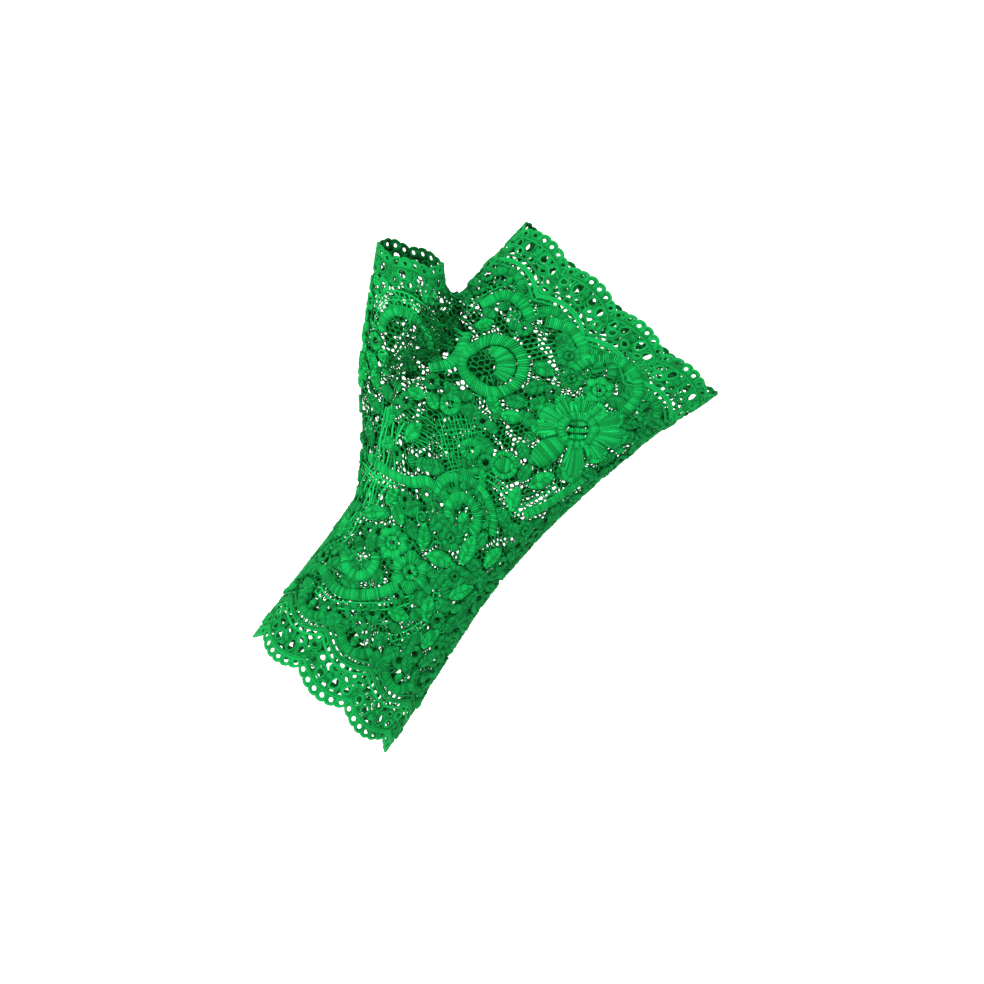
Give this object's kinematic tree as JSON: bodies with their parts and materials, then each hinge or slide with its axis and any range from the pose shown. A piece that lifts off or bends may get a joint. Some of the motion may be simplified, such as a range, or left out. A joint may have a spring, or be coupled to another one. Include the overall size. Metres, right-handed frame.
{
  "type": "lace mitten",
  "caption": "Left-hand evening mitten of floral lace, without fingers: a hollow hand sleeve with a short thumb sleeve and scalloped, pierced hems.",
  "frame": {"origin": "middle of the wrist opening, level with the tips of the wrist hem's scallops", "axes": "+Z along the hand from wrist to fingers, -Y out of the palm, +Y out of the back of the hand, the thumb on the -X side"},
  "size_m": [0.1162, 0.0436, 0.1636],
  "materials": {
    "net": "matte green lace of fine thread",
    "hem": "matte green corded lace",
    "satin": "green satin stitch, a little brighter than the net"
  },
  "bodies": {
    "root": {"back_crescent": "satin", "back_daisy": "satin", "back_disc": "satin", "back_fan_arc": "satin", "back_flower_centre": "satin", "back_horseshoe": "satin", "back_leaf": "satin", "back_medallion": "satin", "back_petals": "satin", "back_scroll": "satin", "back_shell_arc": "satin", "back_small_ring": "satin", "back_wrist_leaf": "satin", "finger_hem": "hem", "hand_sleeve": "net", "palm_crescent": "satin", "palm_daisy": "satin", "palm_disc": "satin", "palm_fan_arc": "satin", "palm_flower_centre": "satin", "palm_horseshoe": "satin", "palm_leaf": "satin", "palm_medallion": "satin", "palm_petals": "satin", "palm_scroll": "satin", "palm_shell_arc": "satin", "palm_small_ring": "satin", "palm_wrist_leaf": "satin", "thumb_hem": "hem", "thumb_sleeve": "net", "wrist_hem": "hem"}
  },
  "joints": []
}
